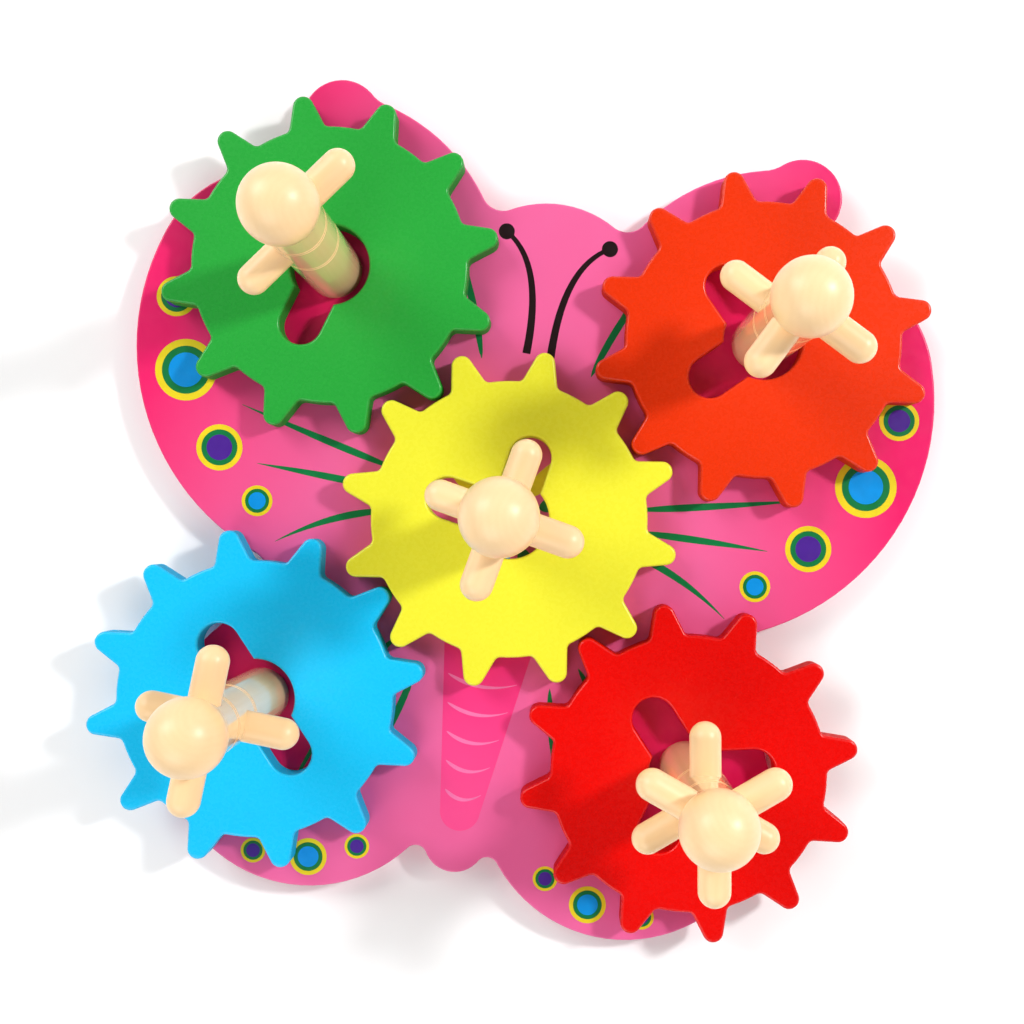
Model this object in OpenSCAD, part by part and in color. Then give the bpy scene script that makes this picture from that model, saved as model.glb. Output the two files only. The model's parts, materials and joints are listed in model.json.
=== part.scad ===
// Butterfly gear board. Five toothed wheels lie in mesh on a butterfly-shaped board, each of them
// loose around a ball-topped post. Cross pins stick out of every post at two levels. A wheel's bore
// passes the ball and its slots pass the pins, so it is threaded up and off the post by turning it.

/* [Gears] */
// Diameter over the tooth tips
gear_tip_d = 108.4; // [96:0.2:130]
// Height of a tooth, from the root circle to its tip
tooth_h = 10.2; // [8:0.1:12]
// Number of teeth on every gear
gear_teeth = 12; // [10:1:13]
// Radius of the round tooth tip
tooth_tip_r = 3.3; // [2.4:0.1:4]
// Lean of a flank from the middle line of its tooth, in degrees
flank_lean = 18; // [10:1:20]
// Fillet between a flank and the root circle
root_fillet = 2.2; // [1:0.1:3]
// Gap between a tooth tip and the root circle that it faces
mesh_gap = 0.8; // [0.5:0.1:2]
// Thickness of a gear
gear_t = 9; // [6:0.5:15]
// Play between a gear and the board under it
gear_float = 0.2; // [0.1:0.05:0.5]
// Bearing of the first tooth of the centre gear, in degrees
centre_turn = 57; // [0:1:359]
// Angle from a gear's first tooth to its first slot, in degrees
slot_lead = 24; // [0:1:29]

/* [Posts] */
// Diameter of a post
post_d = 18; // [15:0.5:21]
// Diameter of the ball that tops a post
ball_d = 21.4; // [21.2:0.2:26]
// Height of a post, from the board to the top of its ball
post_h = 92.5; // [80:0.5:120]
// Spare width of a gear's bore around the ball
bore_play = 4; // [1:0.5:6]
// Drop from a pin level to the middle of the groove pair under it
groove_drop = 8; // [6.5:0.5:9]
// Distance between the two grooves of a pair
groove_pitch = 1.6; // [1.2:0.1:3]
// Radius of a turned groove
groove_r = 0.4; // [0.2:0.05:0.5]

/* [Pins] */
// Diameter of a pin
pin_d = 9; // [7:0.5:10]
// Distance from the axis of a post to the tip of its pins
pin_reach = 23.5; // [20:0.5:30]
// Wood left between the feet of pins that share a level
pin_wall = 0.5; // [0.3:0.1:1.5]
// Spare height for a gear that turns between the two pin levels
level_play = 1; // [0.5:0.5:4]
// Spare width of a slot around a pin
slot_play = 4.5; // [2:0.5:6]
// Spare length of a slot past the tip of a pin
slot_end_play = 4; // [1:0.5:6]
// Glue gap around a pin, and gap around a screw
fit_gap = 0.05; // [0.02:0.01:0.1]

/* [Pin bearings] */
// Upper pin of the green post, in degrees
green_upper = [54]; // [0:1:359]
// Lower pin of the green post
green_lower = [234]; // [0:1:359]
// Upper pins of the orange post
orange_upper = [243, 333]; // [0:1:359]
// Lower pins of the orange post
orange_lower = [63, 153]; // [0:1:359]
// Upper pins of the yellow post
yellow_upper = [260, 350]; // [0:1:359]
// Lower pins of the yellow post
yellow_lower = [80, 170]; // [0:1:359]
// Upper rod of the blue post, which passes right through
blue_upper = [88]; // [0:1:359]
// Lower rod of the blue post
blue_lower = [178]; // [0:1:359]
// Upper pins of the red post
red_upper = [40, 160, 280]; // [0:1:359]
// Lower pins of the red post
red_lower = [100, 220, 340]; // [0:1:359]

/* [Board] */
// Thickness of the board
board_t = 9; // [6:0.5:18]
// Radius of the head
head_r = 35; // [30:0.5:40]
// Drop of the head's centre below the upper posts
head_drop = 1.2; // [0:0.1:5]
// Radius of the arch between the head and the wing's tip
arch_r = 62; // [58:0.5:66]
// Arch centre, outward of an upper post
arch_out = 6.8; // [4:0.2:10]
// Arch centre, below an upper post
arch_drop = 4.4; // [2:0.1:7]
// Radius of the upper wing's pointed tip
tip_r = 12.8; // [10:0.2:15]
// Tip centre, outward of an upper post
tip_out = 6; // [3:0.5:9]
// Tip centre, above an upper post
tip_rise = 48.9; // [45:0.1:52]
// Radius of the upper wing
wing_r = 78; // [72:0.5:84]
// Wing centre, inward of an upper post
wing_in = 17.5; // [12:0.5:22]
// Wing centre, below an upper post
wing_drop = 21.7; // [17:0.1:27]
// Radius of the shoulder between the wing's tip and its side
shoulder_r = 39; // [34:0.5:44]
// Bearing where the shoulder runs into the wing, in degrees
shoulder_turn = 19; // [12:1:26]
// Radius of the lower wing
lower_r = 47.4; // [42:0.2:52]
// Lower wing centre, inward of a lower post
lower_in = 18; // [14:0.5:22]
// Lower wing centre, below a lower post
lower_drop = 11.7; // [8:0.1:16]
// Radius of the tail
tail_r = 10; // [7:0.5:12]
// Tail centre, below the lower posts
tail_drop = 36.2; // [32:0.1:39]
// Fillet between head and arch
head_fillet = 7; // [4:0.5:10]
// Fillet between arch and tip
tip_fillet = 12; // [8:0.5:16]
// Fillet between tip and shoulder
shoulder_fillet = 8; // [5:0.5:12]
// Fillet at the waist, between the upper and the lower wing
waist_fillet = 10; // [6:0.5:20]
// Fillet between the lower wing and the tail
tail_fillet = 3.7; // [3:0.1:6]

/* [Screws] */
// Shank diameter of the screw under each post
screw_d = 4; // [3:0.5:5]
// Length of a screw
screw_l = 32; // [24:1:40]
// Diameter of a screw's countersunk head
screw_head_d = 8; // [6.5:0.5:9.5]
// Depth of the screw head below the board's underside
screw_sink = 0.6; // [0.2:0.1:1.5]
// Length of a screw's point
screw_point = 6; // [4:0.5:8]
// Arm width of the cross recess in a screw head
recess_w = 1; // [0.8:0.1:1.2]
// Depth of the cross recess
recess_depth = 1.4; // [1:0.1:1.8]

/* [Hidden] */
$fn = 96;
overlap = 1;

wood_tone = "#F6DCB0";
board_tone = "#FF4C9C";
steel_tone = "#B9BCC0";

// The gears set where the posts stand: neighbours in mesh are one centre distance apart.
gear_tip_r = gear_tip_d / 2;
root_r = gear_tip_r - tooth_h;
centre_distance = gear_tip_r + root_r + mesh_gap;
post_xy = centre_distance / sqrt(2);
tooth_pitch = 360 / gear_teeth;

// Heights
gear_z = board_t + gear_float;
ball_z = board_t + post_h - ball_d / 2;
upper_z = ball_z - ball_d / 2;
lower_z = upper_z - (pin_d + gear_t + level_play);

// Fits between gear, post and pins
gear_bore_d = ball_d + bore_play;
slot_w = pin_d + slot_play;
slot_reach = pin_reach + slot_end_play;
pin_foot = pin_d / 2 + pin_wall;

// Lobes of the board's right half
head = [0, post_xy - head_drop];
arch = [post_xy + arch_out, post_xy - arch_drop];
tip = [post_xy + tip_out, post_xy + tip_rise];
wing = [post_xy - wing_in, post_xy - wing_drop];
shoulder_way = [cos(shoulder_turn), sin(shoulder_turn)];
shoulder = wing + (wing_r - shoulder_r) * shoulder_way;
lower = [post_xy - lower_in, -post_xy - lower_drop];
tail = [0, -post_xy - tail_drop];

// Corners between neighbouring lobes, clockwise: first centre and radius, second ones, fillet
CORNERS = [
    [head, head_r, arch, arch_r, head_fillet],
    [arch, arch_r, tip, tip_r, tip_fillet],
    [tip, tip_r, shoulder, shoulder_r, shoulder_fillet],
    [wing, wing_r, lower, lower_r, waist_fillet],
    [lower, lower_r, tail, tail_r, tail_fillet],
];
least_bridge = 0.1;
// Arcs that run into one another overlap by this much, so that they cross and don't just touch.
blend = 0.03;

// One row for each post and its gear: name, bearing from the centre post, gear colour, slot angles
// on the gear, upper pins, lower pins, whole teeth that the gear is turned on from its nearest mesh
// with the centre gear, and how far it has rolled into the play of that mesh, in degrees.
STATIONS = [
    ["yellow", undef, "#FFE92A", [0, 90], yellow_upper, yellow_lower, 0, 0],
    ["green", 135, "#2FB64A", [0], green_upper, green_lower, -6, 1.3],
    ["orange", 45, "#FF4420", [0, 90], orange_upper, orange_lower, -4, 2.4],
    ["blue", 225, "#22BDFA", [0, 180], blue_upper, blue_lower, -4, 1],
    ["red", 315, "#F01812", [0, 120, 240], red_upper, red_lower, 2, 0.5],
];

function name_of(s) = s[0];
function is_centre(s) = is_undef(s[1]);
function place_of(s) = is_centre(s) ? [0, 0] : centre_distance * [cos(s[1]), sin(s[1])];
// The blue post's rods pass right through it, every other pin is set in a blind bore.
function is_through(s) = name_of(s) == "blue";
// A gear in mesh has a gap where the centre gear has a tooth, mirrored across the line of centres.
function mesh_turn(s) = 2 * s[1] + 180 - centre_turn + tooth_pitch / 2;
function turn_of(s) = is_centre(s) ? centre_turn : mesh_turn(s) + s[6] * tooth_pitch + s[7];

// One row for each pin: node name, station, height and bearing.
function pin_rows(s, level, z, bearings) = [
    for (i = [0 : len(bearings) - 1])
        let (
            kind = is_through(s) ? "_rod" : "_pin",
            number = len(bearings) > 1 ? str("_", i + 1) : ""
        )
        [str(name_of(s), "_", level, kind, number), s, z, bearings[i]]
];
function pins_of(s) = concat(pin_rows(s, "upper", upper_z, s[4]), pin_rows(s, "lower", lower_z, s[5]));
PINS = [for (s = STATIONS) each pins_of(s)];

module disc(centre, r) {
    translate(centre) circle(r);
}

// Fillet that touches two discs from outside, to the left of the way from the first to the second:
// its centre and its radius. One that is too small to bridge the gap between the discs grows.
function fillet_of(c) =
    let (
        span = norm(c[2] - c[0]),
        f = max(c[4], (span - c[1] - c[3]) / 2 + least_bridge),
        along = (pow(c[1] + f, 2) - pow(c[3] + f, 2) + span * span) / (2 * span),
        way = (c[2] - c[0]) / span,
        off = sqrt(max(0, pow(c[1] + f, 2) - along * along))
    )
    [c[0] + along * way + off * [-way[1], way[0]], f];

module lobe(centre, r) {
    translate(centre) cylinder(h = board_t, r = r);
}

module plate(points) {
    linear_extrude(board_t) polygon(points);
}

// Right half of the board: its lobes and a plate through their centres and those of the fillets, which
// are cut from it. Only the arch's inner side and the wing below its shoulder are outline.
module half_board() {
    wing_h = wing_r + wing_r * sin(shoulder_turn);
    webs = [for (c = CORNERS) fillet_of(c)[0]];
    difference() {
        union() {
            lobe(shoulder, shoulder_r + blend);
            lobe(tip, tip_r);
            lobe(lower, lower_r);
            intersection() {
                lobe(arch, arch_r);
                cube([arch[0] + overlap, tip[1] + tip_r, board_t]);
            }
            intersection() {
                lobe(wing, wing_r);
                translate(wing - [wing_r, wing_r]) cube([2 * wing_r, wing_h, board_t]);
            }
            plate([
                head, webs[0], arch, webs[1], tip, webs[2], shoulder,
                wing, webs[3], lower, webs[4], tail
            ]);
        }
        for (c = CORNERS)
            translate(concat(fillet_of(c)[0], -overlap))
                cylinder(h = board_t + 2 * overlap, r = fillet_of(c)[1] + blend);
    }
}

module board_plate() {
    half_board();
    mirror([1, 0, 0]) half_board();
    lobe(head, head_r);
    lobe(tail, tail_r);
}

module at_posts() {
    for (s = STATIONS) translate(place_of(s)) children();
}

// Countersunk screw, pointing up from its sunk head. The gap widens it all round for its hole.
module screw_form(gap) {
    cone_h = (screw_head_d - screw_d) / 2;
    head_d = screw_head_d + 2 * gap;
    shank_d = screw_d + 2 * gap;
    point_z = screw_sink + screw_l - screw_point;
    translate([0, 0, screw_sink - gap]) cylinder(h = cone_h, d1 = head_d, d2 = shank_d);
    translate([0, 0, screw_sink]) cylinder(h = screw_l - screw_point, d = shank_d);
    translate([0, 0, point_z]) cylinder(h = screw_point + gap, d1 = shank_d, d2 = screw_d / 4);
}

module board() {
    color(board_tone) difference() {
        board_plate();
        at_posts() {
            screw_form(fit_gap);
            translate([0, 0, -overlap])
                cylinder(h = screw_sink + overlap, d = screw_head_d + 2 * fit_gap);
        }
    }
}

module post_screws() {
    recess_l = screw_head_d / 2;
    color(steel_tone) at_posts() difference() {
        screw_form(0);
        for (turn = [0, 90])
            rotate(turn) translate([-recess_l / 2, -recess_w / 2, screw_sink - overlap])
                cube([recess_l, recess_w, recess_depth + overlap]);
    }
}

// Half profile of a post: shaft, ball and a pair of turned grooves under each pin level.
module post_profile() {
    difference() {
        union() {
            translate([0, board_t]) square([post_d / 2, ball_z - board_t]);
            intersection() {
                translate([0, ball_z]) circle(d = ball_d);
                translate([0, ball_z - ball_d]) square([ball_d, 2 * ball_d]);
            }
        }
        for (z = [upper_z, lower_z], side = [-0.5, 0.5])
            translate([post_d / 2, z - groove_drop + side * groove_pitch]) circle(groove_r);
    }
}

// Pin along +X from its foot to its round tip. The gap widens its shaft for the bore.
module pin_form(foot, gap) {
    wide_d = pin_d + 2 * gap;
    tip_x = pin_reach - pin_d / 2;
    rotate([0, 90, 0]) {
        translate([0, 0, foot - gap]) cylinder(h = tip_x - foot + gap, d = wide_d);
        translate([0, 0, tip_x]) sphere(d = wide_d);
    }
}

module pin_solid(s, gap) {
    pin_form(is_through(s) ? 0 : pin_foot, gap);
    if (is_through(s)) rotate(180) pin_form(0, gap);
}

module post(s) {
    color(wood_tone) difference() {
        translate(place_of(s)) rotate_extrude() post_profile();
        translate(place_of(s)) screw_form(fit_gap);
        for (p = pins_of(s)) translate(concat(place_of(s), p[2])) rotate(p[3]) pin_solid(s, fit_gap);
    }
}

module pin(p) {
    color(wood_tone) translate(concat(place_of(p[1]), p[2])) rotate(p[3]) pin_solid(p[1], 0);
}

// One tooth around +Y: straight flanks tangent to a round tip, and a fillet at the foot of each.
module tooth() {
    tip_y = gear_tip_r - tooth_tip_r;
    across = [cos(flank_lean), sin(flank_lean)];
    down = [sin(flank_lean), -cos(flank_lean)];
    touch = [0, tip_y] + tooth_tip_r * across;
    flank_off = touch * across;
    corner = (flank_off + root_fillet) * across
        - sqrt(pow(root_r + root_fillet, 2) - pow(flank_off + root_fillet, 2)) * down;
    foot = corner - root_fillet * across;
    disc([0, tip_y], tooth_tip_r);
    for (side = [0, 1]) mirror([side, 0]) {
        polygon([[0, 0], foot, touch, [0, tip_y]]);
        difference() {
            polygon([[0, 0], corner, foot]);
            disc(corner, root_fillet);
        }
    }
}

module slot() {
    slot_r = slot_w / 2;
    translate([0, -slot_r]) square([slot_reach - slot_r, slot_w]);
    disc([slot_reach - slot_r, 0], slot_r);
}

module gear_outline(slot_turns) {
    difference() {
        union() {
            circle(root_r);
            for (i = [0 : gear_teeth - 1]) rotate(i * tooth_pitch - 90) tooth();
        }
        circle(d = gear_bore_d);
        for (turn = slot_turns) rotate(slot_lead + turn) slot();
    }
}

module gear(s) {
    color(s[2]) translate(concat(place_of(s), gear_z))
        rotate(turn_of(s)) linear_extrude(gear_t) gear_outline(s[3]);
}

board();
post_screws();
for (s = STATIONS) post(s);
for (s = STATIONS) gear(s);
for (p = PINS) pin(p);
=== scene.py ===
"""Looks of the butterfly gear board: eased painted gears, lacquered posts and pins, and a printed board."""

import json
import math

import bmesh
import bpy
import numpy as np
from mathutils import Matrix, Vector
from mathutils.geometry import tessellate_polygon


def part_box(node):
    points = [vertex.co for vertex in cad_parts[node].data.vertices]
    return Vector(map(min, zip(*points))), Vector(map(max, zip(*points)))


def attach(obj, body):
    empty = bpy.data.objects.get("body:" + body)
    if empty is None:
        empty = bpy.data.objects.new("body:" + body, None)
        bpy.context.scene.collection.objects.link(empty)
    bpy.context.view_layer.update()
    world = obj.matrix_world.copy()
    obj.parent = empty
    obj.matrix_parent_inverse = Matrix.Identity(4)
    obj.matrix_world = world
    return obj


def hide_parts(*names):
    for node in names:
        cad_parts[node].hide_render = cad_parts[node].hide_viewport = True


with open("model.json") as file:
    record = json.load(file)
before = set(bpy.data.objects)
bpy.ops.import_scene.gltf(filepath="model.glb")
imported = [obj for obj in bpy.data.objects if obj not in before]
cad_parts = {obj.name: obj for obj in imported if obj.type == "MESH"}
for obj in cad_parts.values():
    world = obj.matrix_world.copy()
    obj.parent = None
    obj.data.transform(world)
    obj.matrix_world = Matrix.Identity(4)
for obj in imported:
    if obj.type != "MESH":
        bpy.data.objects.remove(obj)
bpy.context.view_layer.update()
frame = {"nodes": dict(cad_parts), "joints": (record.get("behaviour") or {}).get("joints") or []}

MM = 0.001
COLOURS = ("yellow", "green", "orange", "blue", "red")
RIGHT, LEFT = 1, -1

# Softened edges in millimetres, and the steps round each of them
GEAR_EDGE = 0.9
BOARD_EDGE = 0.7
EDGE_STEPS = 4

# Width of the countersink around a screw's hole, in millimetres
SINK = 2

# Slots of a plate's materials
FACE, SIDE, UNDERSIDE = 0, 1, 2

# Largest angle in degrees between faces that are shaded as one
SMOOTH_ANGLE = 40

# Distances in millimetres within which corners are one, and within which heights are the same
SAME_PLACE = 0.001
SAME_HEIGHT = 0.01

# Cosine of half a corner's turn, below which an inset cuts the corner short
MITRE_LIMIT = 0.5

# Thickness of one layer of printing ink, in millimetres
INK = 0.02

# Camera, straight above the board: image, lens and nadir in pixels, turn in degrees, and sensor, place and
# nearest distance in millimetres
IMAGE = 1024
SENSOR = 36
CAMERA_PLACE = (14.5, -0.3, 411.6)
CAMERA_NEAR = 10
CAMERA_TURN = 9.8
FOCAL_PIXELS = 1240
NADIR_PIXEL = (554, 528)

# Floor: half its side in metres, and its gap under the board in millimetres
FLOOR_HALF = 12
FLOOR_GAP = 0.05

# Light tent around the board: heights from the horizon (0) to straight above (1), and brightness there
TENT = [(0, 0.47), (0.12, 0.24), (0.3, 0.14), (0.55, 0.96), (0.72, 0.96), (0.88, 0.04)]

# Lights: direction along the picture's right, its up and towards the camera, then distance and size in
# metres, and power in watts
LIGHTS = {
    "key_right": ((0.69, 0.29, 0.66), 1.2, 0.14, 8.4),
    "key_left": ((-0.64, 0.52, 0.56), 2.2, 1.2, 22),
    "fill_low": ((-0.35, -0.70, 0.62), 2.2, 1.6, 15),
}

# Grain of the finishes, in waves to a metre
PAINT_GRAIN = {"tone": 60, "speck": 2200, "gloss": 700, "peel": 1300}
LACQUER_GRAIN = {"rings": 160, "fibre": 1500}
PRINT_GRAIN = {"cloud": 35, "gloss": 300, "peel": 1500}
WOOD_GRAIN = {"figure": 140, "fibre": 1600}
STEEL_GRAIN = {"tone": 500, "gloss": 1500}
INK_GRAIN = {"tone": 160, "gloss": 400}
FLOOR_GRAIN = 6

# Grain along the wood, as a share of that across it, and the pith's place beside a turned piece
LACQUER_DRAW = 0.06
VENEER_DRAW = 0.05
PITH_PLACE = (9 * MM, 5 * MM, 0)

# Paint on a smooth face, and on a cut edge, which drinks it: shine, share of flecks and roughness
SMOOTH_PAINT = {"shine": 0.35, "flecks": 0.05, "roughness": (0.25, 0.3)}
EDGE_PAINT = {"shine": 0.15, "flecks": 0.35, "roughness": (0.55, 0.65)}

# Roughness of the other finishes, and how deep the lacquer's growth rings and fibres are tinted
PRINT_ROUGHNESS = (0.28, 0.34)
WOOD_ROUGHNESS = (0.6, 0.75)
STEEL_ROUGHNESS = (0.25, 0.42)
LACQUER_TINT = 0.1

# Roughness of the lacquer: satin on pins and balls, and glossy on the shafts of posts
SATIN = 0.38
GLOSSY = 0.1
# Depths under a post's top between which its shaft turns into its ball, in millimetres
BALL_DEPTHS = (19.5, 16.5)

# Depth of bumps, in millimetres, at full strength
FINE_BUMP = 0.05
WOOD_BUMP = 0.08

# Pink of the wings: weights of |x| and y, and where it starts and ends to redden, in millimetres
WING_FADE = ((1, 0.3), 62, 132)
# Distances from a post at which the painted shade under its gear, a deeper pink, starts and ends to fade,
# in millimetres
GEAR_SHADE_FADE = (30, 38)


def srgb(red, green, blue):
    """Linear colour of screen values from 0 to 255."""
    shares = [value / 255 for value in (red, green, blue)]
    return tuple(s / 12.92 if s < 0.04 else ((s + 0.055) / 1.055) ** 2.4 for s in shares) + (1,)


PAINTS = {
    "yellow": srgb(232, 230, 53),
    "green": srgb(39, 161, 58),
    "orange": srgb(223, 50, 7),
    "blue": srgb(21, 192, 244),
    "red": srgb(223, 6, 2),
}
IVORY = srgb(251, 215, 164)
IVORY_DARK = srgb(240, 197, 142)
PINK_INNER = srgb(228, 99, 154)
PINK_RIM = srgb(232, 30, 103)
# Deeper pink painted around the posts, as the shade under the gears
PINK_GEAR_SHADE = srgb(214, 16, 84)
# Pink paint of the board's sides, darker than the face as painted shade on the upright faces
PINK_SIDE_SHADED = srgb(213, 37, 105)
BODY_TOP = srgb(233, 36, 116)
BODY_END = srgb(240, 78, 142)
BARE_WOOD = srgb(222, 190, 146)
BARE_WOOD_DARK = srgb(196, 158, 112)
STEEL = srgb(196, 199, 204)
FLOOR = srgb(254, 254, 254)
INKS = {
    "black": srgb(30, 15, 17),
    "green": srgb(14, 118, 62),
    "yellow": srgb(232, 208, 36),
    "blue": srgb(6, 146, 226),
    "violet": srgb(74, 34, 142),
    "pale": srgb(240, 118, 172),
}


# Materials

def put(tree, kind, inputs=None, **settings):
    """Adds a node. An input is a value, or the socket that it is linked to."""
    node = tree.nodes.new(kind)
    for name, value in settings.items():
        setattr(node, name, value)
    for name, value in (inputs or {}).items():
        if isinstance(value, bpy.types.NodeSocket):
            tree.links.new(value, node.inputs[name])
        else:
            node.inputs[name].default_value = value
    return node


def surface(name, values):
    """New material: it, its node tree and its shader, with constant values set on the shader's sockets."""
    material = bpy.data.materials.new(name)
    material.use_nodes = True
    tree = material.node_tree
    shader = tree.nodes["Principled BSDF"]
    for socket, value in values.items():
        shader.inputs[socket].default_value = value
    return material, tree, shader


def object_place(tree):
    return put(tree, "ShaderNodeTexCoord").outputs["Object"]


def noise(tree, place, scale, detail=2.0, roughness=0.5):
    values = {"Vector": place, "Scale": scale, "Detail": detail, "Roughness": roughness}
    return put(tree, "ShaderNodeTexNoise", values).outputs["Fac"]


def spread(tree, factor, low=0, high=1, first=0.35, last=0.65):
    """Maps a stretch of a factor, by default the middle of a noise, onto a range of values."""
    values = {"Value": factor, "From Min": first, "From Max": last, "To Min": low, "To Max": high}
    return put(tree, "ShaderNodeMapRange", values).outputs["Result"]


def times(tree, factor, share):
    return put(tree, "ShaderNodeMath", {0: factor, 1: share}, operation="MULTIPLY").outputs[0]


def mix(tree, factor, first, second):
    """Colour between two, each of which is a colour or the socket that gives it."""
    node = put(tree, "ShaderNodeMix", data_type="RGBA")
    sockets = {s.identifier: s for s in node.inputs}
    for key, value in (("Factor_Float", factor), ("A_Color", first), ("B_Color", second)):
        if isinstance(value, bpy.types.NodeSocket):
            tree.links.new(value, sockets[key])
        else:
            sockets[key].default_value = value
    return next(s for s in node.outputs if s.identifier == "Result_Color")


def bump(tree, shader, height, strength, depth):
    values = {"Height": height, "Strength": strength, "Distance": depth * MM}
    tree.links.new(put(tree, "ShaderNodeBump", values).outputs["Normal"], shader.inputs["Normal"])


def shade(colour, factor):
    return tuple(c * factor for c in colour[:3]) + (1,)


def paint(name, colour, layer=SMOOTH_PAINT):
    """Sprayed paint: nearly even, finely speckled, with a slight peel."""
    material, tree, shader = surface(name, {"Specular IOR Level": layer["shine"]})
    place = object_place(tree)
    tone = spread(tree, noise(tree, place, PAINT_GRAIN["tone"]))
    speck = spread(tree, noise(tree, place, PAINT_GRAIN["speck"]))
    base = mix(tree, tone, shade(colour, 0.98), colour)
    flecked = mix(tree, times(tree, speck, layer["flecks"]), base, shade(colour, 0.8))
    tree.links.new(flecked, shader.inputs["Base Color"])
    gloss = spread(tree, noise(tree, place, PAINT_GRAIN["gloss"]), *layer["roughness"])
    tree.links.new(gloss, shader.inputs["Roughness"])
    bump(tree, shader, noise(tree, place, PAINT_GRAIN["peel"]), strength=0.02, depth=FINE_BUMP)
    return material


def lacquer(name, centre, along):
    """Pale lacquered wood, its grain along a piece: faint growth rings, fine fibres and a satin coat."""
    body = {"Roughness": 0.4, "Specular IOR Level": 0.2}
    coat = {"Coat Weight": 1.0, "Coat IOR": 1.35, "Coat Roughness": SATIN}
    material, tree, shader = surface(name, {**body, **coat})
    turn = along.to_track_quat("Z", "Y").to_euler()
    values = {"Vector": object_place(tree), "Location": centre, "Rotation": turn}
    local = put(tree, "ShaderNodeMapping", values, vector_type="TEXTURE").outputs["Vector"]
    lengthwise = {"Vector": local, "Scale": (1, 1, LACQUER_DRAW)}
    drawn = put(tree, "ShaderNodeMapping", lengthwise).outputs["Vector"]
    pith = put(tree, "ShaderNodeMapping", {"Vector": drawn, "Location": PITH_PLACE}).outputs["Vector"]
    wavy = {"Distortion": 2.5, "Detail": 2, "Detail Scale": 1.5}
    waves = {"Vector": pith, "Scale": LACQUER_GRAIN["rings"], **wavy}
    rings = put(tree, "ShaderNodeTexWave", waves, wave_type="RINGS", rings_direction="Z").outputs["Fac"]
    fibre = spread(tree, noise(tree, drawn, LACQUER_GRAIN["fibre"], detail=3))
    faint = {0: times(tree, rings, LACQUER_TINT), 1: times(tree, fibre, LACQUER_TINT)}
    figure = put(tree, "ShaderNodeMath", faint, operation="ADD").outputs[0]
    tree.links.new(mix(tree, figure, IVORY, IVORY_DARK), shader.inputs["Base Color"])
    bump(tree, shader, fibre, strength=0.03, depth=FINE_BUMP)
    return material


def polish_shaft(material, top):
    """Makes a post glossy up to its ball, which hands have dulled."""
    tree = material.node_tree
    shader = tree.nodes["Principled BSDF"]
    height = put(tree, "ShaderNodeSeparateXYZ", {"Vector": object_place(tree)}).outputs["Z"]
    first, last = [top - depth * MM for depth in BALL_DEPTHS]
    gloss = spread(tree, height, GLOSSY, SATIN, first, last)
    for socket in ("Roughness", "Coat Roughness"):
        tree.links.new(gloss, shader.inputs[socket])


def gradient(tree, place, weights, first, last):
    """From 0 to 1 along a weighted sum of |x| and y, between two values of it in millimetres."""
    parts = put(tree, "ShaderNodeSeparateXYZ", {"Vector": place})
    wide = put(tree, "ShaderNodeMath", {0: parts.outputs["X"]}, operation="ABSOLUTE").outputs[0]
    up = {0: parts.outputs["Y"], 1: weights[1], 2: times(tree, wide, weights[0])}
    total = put(tree, "ShaderNodeMath", up, operation="MULTIPLY_ADD").outputs[0]
    return spread(tree, total, first=first * MM, last=last * MM)


def near_posts(tree, place, full, none):
    """From 1 to 0 between two distances from an outer post, in millimetres. The four are mirror images."""
    folded = put(tree, "ShaderNodeVectorMath", {0: place}, operation="ABSOLUTE").outputs["Vector"]
    outer = frame["joints"][-1]["pos_m"]
    post = (abs(outer[0]), abs(outer[1]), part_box("board")[1].z)
    away = put(tree, "ShaderNodeVectorMath", {0: folded, 1: post}, operation="DISTANCE").outputs["Value"]
    return spread(tree, away, 1, 0, full * MM, none * MM)


def print_finish(name, first, last, weights, start, end):
    """Satin print on a smooth primer, from one colour to another across the board, with a deeper pink
    painted around the posts as the shade under the gears.
    """
    material, tree, shader = surface(name, {"Specular IOR Level": 0.35})
    place = object_place(tree)
    base = mix(tree, gradient(tree, place, weights, start, end), first, last)
    cloud = spread(tree, noise(tree, place, PRINT_GRAIN["cloud"], detail=3), high=0.08)
    clouded = mix(tree, cloud, base, PINK_RIM)
    # Painted shade: the print turns a deeper pink near the posts, under the gears
    gear_shaded = mix(tree, near_posts(tree, place, *GEAR_SHADE_FADE), clouded, PINK_GEAR_SHADE)
    tree.links.new(gear_shaded, shader.inputs["Base Color"])
    gloss = spread(tree, noise(tree, place, PRINT_GRAIN["gloss"], detail=3), *PRINT_ROUGHNESS)
    tree.links.new(gloss, shader.inputs["Roughness"])
    bump(tree, shader, noise(tree, place, PRINT_GRAIN["peel"]), strength=0.04, depth=FINE_BUMP)
    return material


def bare_wood(name):
    """Unpainted face of the board, with veneer figure along the board's length."""
    material, tree, shader = surface(name, {"Specular IOR Level": 0.35})
    lengthwise = {"Vector": object_place(tree), "Scale": (1, VENEER_DRAW, 1)}
    place = put(tree, "ShaderNodeMapping", lengthwise).outputs["Vector"]
    figure = spread(tree, noise(tree, place, WOOD_GRAIN["figure"], detail=4, roughness=0.6))
    fibre = spread(tree, noise(tree, place, WOOD_GRAIN["fibre"], detail=3))
    veneer = mix(tree, figure, BARE_WOOD, BARE_WOOD_DARK)
    pored = mix(tree, times(tree, fibre, 0.3), veneer, shade(BARE_WOOD_DARK, 0.7))
    tree.links.new(pored, shader.inputs["Base Color"])
    gloss = spread(tree, fibre, *WOOD_ROUGHNESS, first=0, last=1)
    tree.links.new(gloss, shader.inputs["Roughness"])
    bump(tree, shader, fibre, strength=0.2, depth=WOOD_BUMP)
    return material


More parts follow.
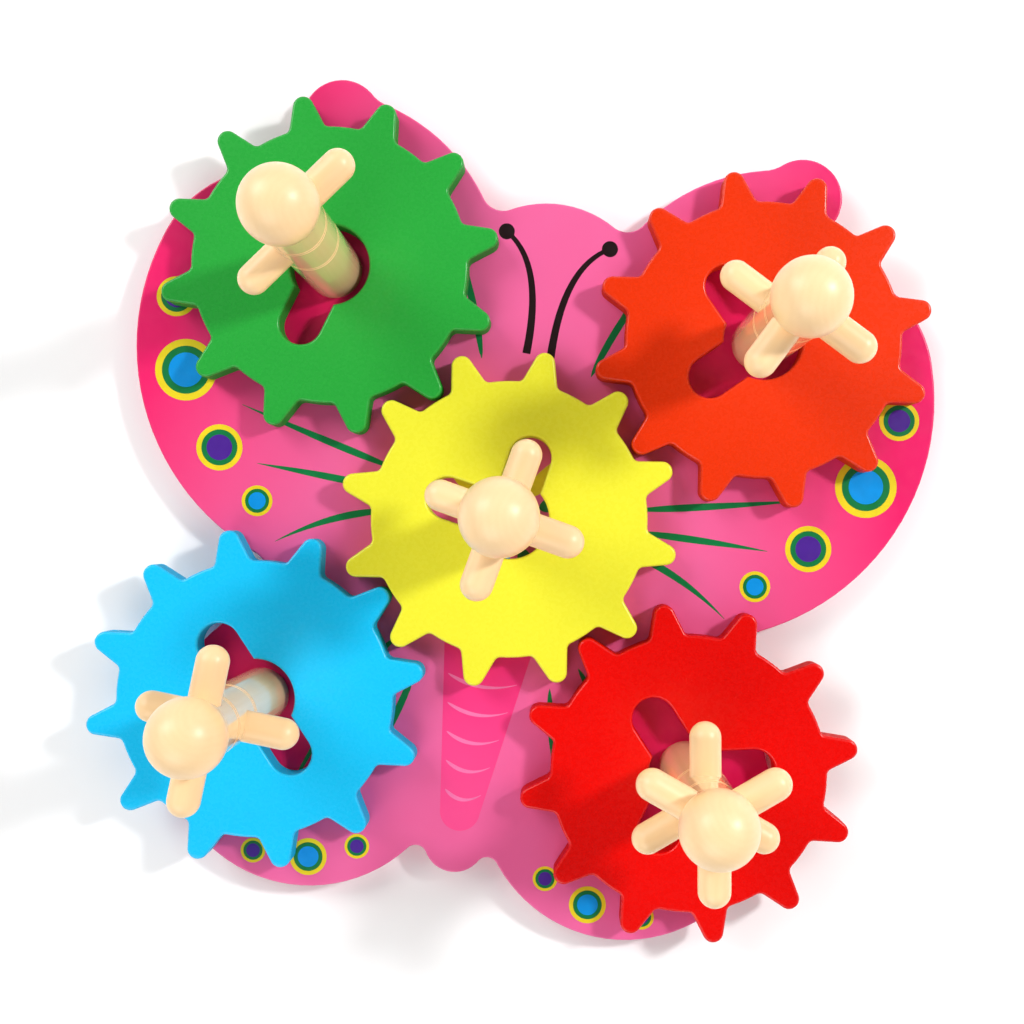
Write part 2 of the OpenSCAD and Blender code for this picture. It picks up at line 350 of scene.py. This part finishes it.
def steel(name):
    material, tree, shader = surface(name, {"Metallic": 1.0})
    place = object_place(tree)
    tone = spread(tree, noise(tree, place, STEEL_GRAIN["tone"], detail=4))
    tree.links.new(mix(tree, tone, STEEL, shade(STEEL, 0.75)), shader.inputs["Base Color"])
    gloss = spread(tree, noise(tree, place, STEEL_GRAIN["gloss"]), *STEEL_ROUGHNESS)
    tree.links.new(gloss, shader.inputs["Roughness"])
    return material


def ink(name, colour):
    material, tree, shader = surface(name, {"Specular IOR Level": 0.4})
    place = object_place(tree)
    tone = spread(tree, noise(tree, place, INK_GRAIN["tone"], detail=3))
    tree.links.new(mix(tree, tone, shade(colour, 0.9), colour), shader.inputs["Base Color"])
    gloss = spread(tree, noise(tree, place, INK_GRAIN["gloss"]), *PRINT_ROUGHNESS)
    tree.links.new(gloss, shader.inputs["Roughness"])
    return material


def floor_finish(name):
    material, tree, shader = surface(name, {"Roughness": 0.9, "Specular IOR Level": 0.2})
    tone = spread(tree, noise(tree, object_place(tree), FLOOR_GRAIN))
    tree.links.new(mix(tree, tone, shade(FLOOR, 0.985), FLOOR), shader.inputs["Base Color"])
    return material


# Mesh making

def show(thing):
    bpy.context.scene.collection.objects.link(thing)


def new_piece(name, bm, materials):
    """Object of a finished bmesh, shaded smooth up to sharp corners."""
    bmesh.ops.recalc_face_normals(bm, faces=bm.faces)
    mesh = bpy.data.meshes.new(name)
    bm.to_mesh(mesh)
    bm.free()
    mesh.shade_smooth()
    mesh.set_sharp_from_angle(angle=math.radians(SMOOTH_ANGLE))
    for material in materials:
        mesh.materials.append(material)
    piece = bpy.data.objects.new(name, mesh)
    show(piece)
    return piece


def keep_flats(piece):
    """Lets the flat faces rule the shading next to them, so that soft edges catch the light."""
    normals = piece.modifiers.new("flats", "WEIGHTED_NORMAL")
    normals.keep_sharp = True


def ring(bm, points, z):
    return [bm.verts.new((x, y, z)) for x, y in points]


def wall(bm, low, high, material=FACE):
    """Faces between two rings of as many corners."""
    for i, corner in enumerate(low):
        j = (i + 1) % len(low)
        face = bm.faces.new((corner, low[j], high[j], high[i]))
        face.material_index = material


def cap(bm, rings, material=FACE):
    """Flat face between an outer ring and the rings of its holes."""
    corners = [corner for r in rings for corner in r]
    for triangle in tessellate_polygon([[corner.co for corner in r] for r in rings]):
        face = bm.faces.new([corners[i] for i in triangle])
        face.material_index = material


def top_loops(node):
    """Outline and holes of a flat node's upper face, as loops of points with the wood on their left."""
    bm = bmesh.new()
    bm.from_mesh(frame["nodes"][node].data)
    bmesh.ops.remove_doubles(bm, verts=bm.verts, dist=SAME_PLACE * MM)
    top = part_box(node)[1].z
    # A dict keeps the order of its faces, so that every run builds the same mesh
    flat = dict.fromkeys(f for f in bm.faces if all(abs(v.co.z - top) < SAME_HEIGHT * MM for v in f.verts))
    onward = {}
    for face in flat:
        for side in face.loops:
            if sum(f in flat for f in side.edge.link_faces) == 1:
                onward[side.vert] = side.link_loop_next.vert
    loops = []
    while onward:
        corner = next(iter(onward))
        loop = []
        while corner in onward:
            loop.append(corner.co.xy.copy())
            corner = onward.pop(corner)
        loops.append(loop)
    bm.free()
    return sorted(loops, key=lambda points: -max(p.length for p in points))


def inset(loop, amount):
    """A loop moved towards the wood on its left."""
    moved = []
    for before, here, after in zip(loop[-1:] + loop[:-1], loop, loop[1:] + loop[:1]):
        sides = [Vector((-w.y, w.x)).normalized() for w in (here - before, after - here)]
        middle = (sides[0] + sides[1]).normalized()
        moved.append(here + middle * amount / max(middle.dot(sides[0]), MITRE_LIMIT))
    return moved


def soft_profile(low, high, edge):
    """Inset and height of each ring up the side of a plate whose edges are rounded."""
    turns = [math.pi / 2 * i / EDGE_STEPS for i in range(EDGE_STEPS + 1)]
    lower = [(edge * (1 - math.sin(t)), low + edge * (1 - math.cos(t))) for t in turns]
    upper = [(edge * (1 - math.cos(t)), high - edge * (1 - math.sin(t))) for t in turns]
    return lower + upper


def soft_walls(bm, loop, low, high, edge):
    """Builds a plate's side along one loop, its upper edge finished as the face. Gives its end rings."""
    rings = [ring(bm, inset(loop, amount), z) for amount, z in soft_profile(low, high, edge)]
    for i, (below, above) in enumerate(zip(rings, rings[1:])):
        wall(bm, below, above, SIDE if i <= EDGE_STEPS else FACE)
    return rings[0], rings[-1]


def circle(centre, radius, count=48):
    turns = [2 * math.pi * i / count for i in range(count)]
    return [Vector((centre[0] + radius * math.cos(t), centre[1] + radius * math.sin(t))) for t in turns]


# Gears

def soft_gear(colour):
    """Painted gear with its edges eased, in place of the sharp one."""
    node = f"{colour}_gear"
    low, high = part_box(node)
    bm = bmesh.new()
    ends = [soft_walls(bm, loop, low.z, high.z, GEAR_EDGE * MM) for loop in top_loops(node)]
    cap(bm, [end[0] for end in ends])
    cap(bm, [end[1] for end in ends])
    face = paint(f"{colour}_paint", PAINTS[colour])
    # Walls of teeth, slots and bore: the paint darkened to 0.8 as painted shade, with the duller, rougher
    # finish of paint on cut wood
    side = paint(f"{colour}_shaded_cut_edge", shade(PAINTS[colour], 0.8), EDGE_PAINT)
    gear = new_piece(f"{colour}_gear_soft", bm, [face, side])
    keep_flats(gear)
    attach(gear, node)
    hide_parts(node)


for colour in COLOURS:
    soft_gear(colour)


# Board

def screw_holes():
    """Middle of each screw's hole under the board, from the joints of the gears."""
    return [Vector(joint["pos_m"][:2]) for joint in frame["joints"]]


def soft_board():
    """Printed board with eased edges, sides painted pink and darkened as painted shade, a bare underside
    and countersunk holes.
    """
    low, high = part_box("board")
    outline, *holes = top_loops("board")
    hole_r = max((p - holes[0][0]).length for p in holes[0]) / 2
    screw_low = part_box("post_screws")[0].z
    sink = SINK * MM
    head_r = hole_r + sink
    steps = [(head_r, low.z), (head_r, screw_low), (hole_r, screw_low + sink), (hole_r, high.z)]
    bm = bmesh.new()
    bottom, top = soft_walls(bm, outline, low.z, high.z, BOARD_EDGE * MM)
    lowest, highest = [bottom], [top]
    for middle in screw_holes():
        rings = [ring(bm, circle(middle, r), z) for r, z in steps]
        for below, above in zip(rings, rings[1:]):
            wall(bm, below, above, UNDERSIDE)
        lowest.append(rings[0])
        highest.append(rings[-1])
    cap(bm, lowest, UNDERSIDE)
    cap(bm, highest)
    pink = print_finish("board_print", PINK_INNER, PINK_RIM, *WING_FADE)
    # The sides' darker pink is painted shade
    side = paint("board_side_shaded", PINK_SIDE_SHADED, EDGE_PAINT)
    board = new_piece("board_printed", bm, [pink, side, bare_wood("board_underside")])
    keep_flats(board)
    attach(board, "base")
    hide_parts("board")


soft_board()


# Printed motifs, in millimetres

# Ringed spots on the right wings: middle, radius and colour of the eye
SPOTS = [
    ((112, 30), 10, "blue"),
    ((119, 53), 6.5, "violet"),
    ((97, 7), 7.5, "violet"),
    ((82, -8), 5, "blue"),
    ((46, -119), 6, "blue"),
    ((64, -120), 4, "violet"),
    ((31, -113), 4, "violet"),
]
# Radius of a spot's ring and of its eye, as shares of the spot's
SPOT_RING = 0.78
SPOT_EYE = 0.56
# Veins of the right wings: start, pull and end
VEINS = [
    ((40, 10), (68, 16), (92, 22)),
    ((42, 3), (66, 4), (84, 4)),
    ((40, -4), (58, -8), (74, -20)),
    ((18, 50), (24, 72), (42, 104)),
    ((22, -52), (26, -76), (40, -104)),
    ((30, -44), (44, -60), (60, -112)),
]
VEIN_WIDTH = 2.2
# Right antenna: start, pull and end, its width at both ends, and the radius of its knob
ANTENNA = ((4, 54), (3, 84), (17, 92))
ANTENNA_WIDTHS = (2.6, 1.4)
KNOB_R = 2.6
BODY = {"top": -34, "end": -96, "top_half": 15.5, "end_half": 6.5}
# Bands across the body: shares of the way down it, width, sag and distance from its sides
BANDS = {"count": 5, "first": 0.3, "last": 0.9, "width": 1.1, "sag": 5, "margin": 1.5}
# Rosette around the centre post
ROSETTE = {"inner": 10, "outer": 28, "width": 5, "petals": 12, "colours": ("blue", "green", "yellow")}
# Width of a brush stroke at its ends, and the power that puts its widest place before the middle
STROKE_END = 0.15
STROKE_LEAD = 0.6


def bend(start, pull, end, count=24):
    """Points of a curve from start to end, drawn towards pull."""
    shares = [i / count for i in range(count + 1)]
    start, pull, end = Vector(start), Vector(pull), Vector(end)
    return [start * (1 - t) ** 2 + pull * 2 * t * (1 - t) + end * t ** 2 for t in shares]


def stroke(curve, width):
    """Outline of a brush stroke along a curve. width gives its width from the share of the way along."""
    left, right = [], []
    for i, here in enumerate(curve):
        way = (curve[min(i + 1, len(curve) - 1)] - curve[max(i - 1, 0)]).normalized()
        side = Vector((-way.y, way.x)) * width(i / (len(curve) - 1)) / 2
        left.append(here + side)
        right.append(here - side)
    return right + left[::-1]


def petal(full):
    """Stroke that starts thin, swells and runs out to a point."""
    return lambda t: STROKE_END + full * math.sin(math.pi * t ** STROKE_LEAD)


def tapering(first, last):
    """Stroke that narrows evenly."""
    return lambda t: first + (last - first) * t


def mirrored(points, side):
    """Points given in millimetres for the right half, as points of the frame, anticlockwise."""
    flipped = [Vector((p[0] * side, p[1])) * MM for p in points]
    return flipped if side == RIGHT else flipped[::-1]


def both_sides(shapes):
    """Each shape of the right half, and its mirror image."""
    return [mirrored(shape, side) for shape in shapes for side in (RIGHT, LEFT)]


def printed(name, shapes, level, material):
    """One colour of the print: flat shapes, one ink layer thick, on the layers below it."""
    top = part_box("board")[1].z
    bm = bmesh.new()
    for shape in shapes:
        low = ring(bm, shape, top + (level - 1) * INK * MM)
        high = ring(bm, shape, top + level * INK * MM)
        wall(bm, low, high)
        cap(bm, [low])
        cap(bm, [high])
    piece = new_piece(f"print_{name}", bm, [material])
    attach(piece, "base")


def body_outline(steps=16):
    """Tapered body of the butterfly, round at its end."""
    tip = [math.pi * (1 + i / steps) for i in range(steps + 1)]
    r = BODY["end_half"]
    round_end = [(r * math.cos(t), BODY["end"] + r * math.sin(t)) for t in tip]
    return round_end + [(BODY["top_half"], BODY["top"]), (-BODY["top_half"], BODY["top"])]


def body_band(number):
    """Thin curved band across the body."""
    share = BANDS["first"] + (BANDS["last"] - BANDS["first"]) * number / (BANDS["count"] - 1)
    y = BODY["top"] + (BODY["end"] - BODY["top"]) * share
    half = BODY["top_half"] + (BODY["end_half"] - BODY["top_half"]) * share - BANDS["margin"]
    return stroke(bend((-half, y), (0, y - BANDS["sag"]), (half, y)), petal(BANDS["width"]))


def rosette_petal(turn):
    """Petal that points away from the centre post."""
    way = Vector((math.cos(turn), math.sin(turn)))
    inner, outer = ROSETTE["inner"], ROSETTE["outer"]
    return stroke(bend(way * inner, way * (inner + outer) / 2, way * outer), petal(ROSETTE["width"]))


def print_body():
    body = print_finish("body_print", BODY_END, BODY_TOP, (0, 1), BODY["end"], BODY["top"])
    printed("body", [mirrored(body_outline(), RIGHT)], 1, body)
    bands = [mirrored(body_band(i), RIGHT) for i in range(BANDS["count"])]
    printed("bands", bands, 2, ink("band_ink", INKS["pale"]))


def print_lines():
    veins = both_sides([stroke(bend(*vein), petal(VEIN_WIDTH)) for vein in VEINS])
    printed("veins", veins, 1, ink("vein_ink", INKS["green"]))
    antennae = both_sides([stroke(bend(*ANTENNA), tapering(*ANTENNA_WIDTHS))])
    printed("antennae", antennae, 1, ink("antenna_ink", INKS["black"]))
    knobs = both_sides([circle(ANTENNA[-1], KNOB_R)])
    printed("knobs", knobs, 2, ink("knob_ink", INKS["black"]))


def print_spots():
    rims = both_sides([circle(middle, r) for middle, r, _ in SPOTS])
    printed("spot_rims", rims, 2, ink("spot_rim_ink", INKS["yellow"]))
    rounds = both_sides([circle(middle, SPOT_RING * r) for middle, r, _ in SPOTS])
    printed("spot_rings", rounds, 3, ink("spot_ring_ink", INKS["green"]))
    for colour in ("blue", "violet"):
        eyes = both_sides([circle(middle, SPOT_EYE * r) for middle, r, eye in SPOTS if eye == colour])
        printed(f"{colour}_eyes", eyes, 4, ink(f"{colour}_ink", INKS[colour]))


def print_rosette():
    petals, colours = ROSETTE["petals"], ROSETTE["colours"]
    for first, colour in enumerate(colours):
        turns = [2 * math.pi * i / petals for i in range(first, petals, len(colours))]
        shapes = [mirrored(rosette_petal(turn), RIGHT) for turn in turns]
        printed(f"{colour}_petals", shapes, 1, ink(f"{colour}_petal_ink", INKS[colour]))


print_body()
print_lines()
print_spots()
print_rosette()


# Posts, pins and screws

def grain_of(node):
    """Middle of a long node and the direction along it."""
    corners = np.array([v.co for v in frame["nodes"][node].data.vertices])
    middle = corners.mean(axis=0)
    along = np.linalg.svd(corners - middle, full_matrices=False)[2][0]
    return Vector(middle), Vector(along)


def finish_node(node, material):
    """Gives a node that keeps its shape its finish."""
    piece = frame["nodes"][node]
    piece.data.materials.clear()
    piece.data.materials.append(material)


for node in frame["nodes"]:
    if node.endswith("_post") or "_pin" in node or "_rod" in node:
        wood = lacquer(f"{node}_lacquer", *grain_of(node))
        if node.endswith("_post"):
            polish_shaft(wood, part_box(node)[1].z)
        finish_node(node, wood)
finish_node("post_screws", steel("screw_steel"))


# Studio

def area_light(name, direction, distance, size, power):
    """Soft round light in a direction given along the picture's right, its up and towards the camera."""
    light = bpy.data.lights.new(name, "AREA")
    light.shape = "DISK"
    light.size = size
    light.energy = power
    lamp = bpy.data.objects.new(name, light)
    turn = math.radians(CAMERA_TURN)
    right = Vector((math.cos(turn), math.sin(turn), 0))
    up = Vector((-math.sin(turn), math.cos(turn), 0))
    way = (right * direction[0] + up * direction[1] + Vector((0, 0, direction[2]))).normalized()
    lamp.location = way * distance
    lamp.rotation_euler = way.to_track_quat("Z", "Y").to_euler()
    show(lamp)


def tent():
    """White light tent: dim low down, bright higher up, dark above, where flat faces would mirror it."""
    world = bpy.data.worlds.new("tent")
    world.use_nodes = True
    tree = world.node_tree
    way = put(tree, "ShaderNodeTexCoord").outputs["Generated"]
    height = put(tree, "ShaderNodeSeparateXYZ", {"Vector": way}).outputs["Z"]
    ramp = put(tree, "ShaderNodeValToRGB", {"Fac": height})
    stops = ramp.color_ramp.elements
    stops.remove(stops[1])
    for place, brightness in TENT:
        stop = stops[0] if place == 0 else stops.new(place)
        stop.color = (brightness, brightness, brightness, 1)
    tree.links.new(ramp.outputs["Color"], tree.nodes["Background"].inputs["Color"])
    bpy.context.scene.world = world


def studio_floor():
    """Plain floor, just under the board so that the two don't share a face."""
    mesh = bpy.data.meshes.new("floor")
    half, z = FLOOR_HALF, -FLOOR_GAP * MM
    corners = [(-half, -half, z), (half, -half, z), (half, half, z), (-half, half, z)]
    mesh.from_pydata(corners, [], [(0, 1, 2, 3)])
    mesh.materials.append(floor_finish("floor_white"))
    floor = bpy.data.objects.new("floor", mesh)
    show(floor)


def camera():
    """Camera whose frame is shifted, so that it looks straight down as the photo does."""
    lens = bpy.data.cameras.new("camera")
    lens.sensor_width = SENSOR
    lens.lens = FOCAL_PIXELS * SENSOR / IMAGE
    lens.shift_x = (IMAGE / 2 - NADIR_PIXEL[0]) / IMAGE
    lens.shift_y = (NADIR_PIXEL[1] - IMAGE / 2) / IMAGE
    lens.clip_start = CAMERA_NEAR * MM
    eye = bpy.data.objects.new("camera", lens)
    eye.location = Vector(CAMERA_PLACE) * MM
    eye.rotation_euler = (0, 0, math.radians(CAMERA_TURN))
    show(eye)
    bpy.context.scene.camera = eye


studio_floor()
tent()
for name, light in LIGHTS.items():
    area_light(name, *light)
camera()
bpy.context.scene.view_settings.view_transform = "Standard"
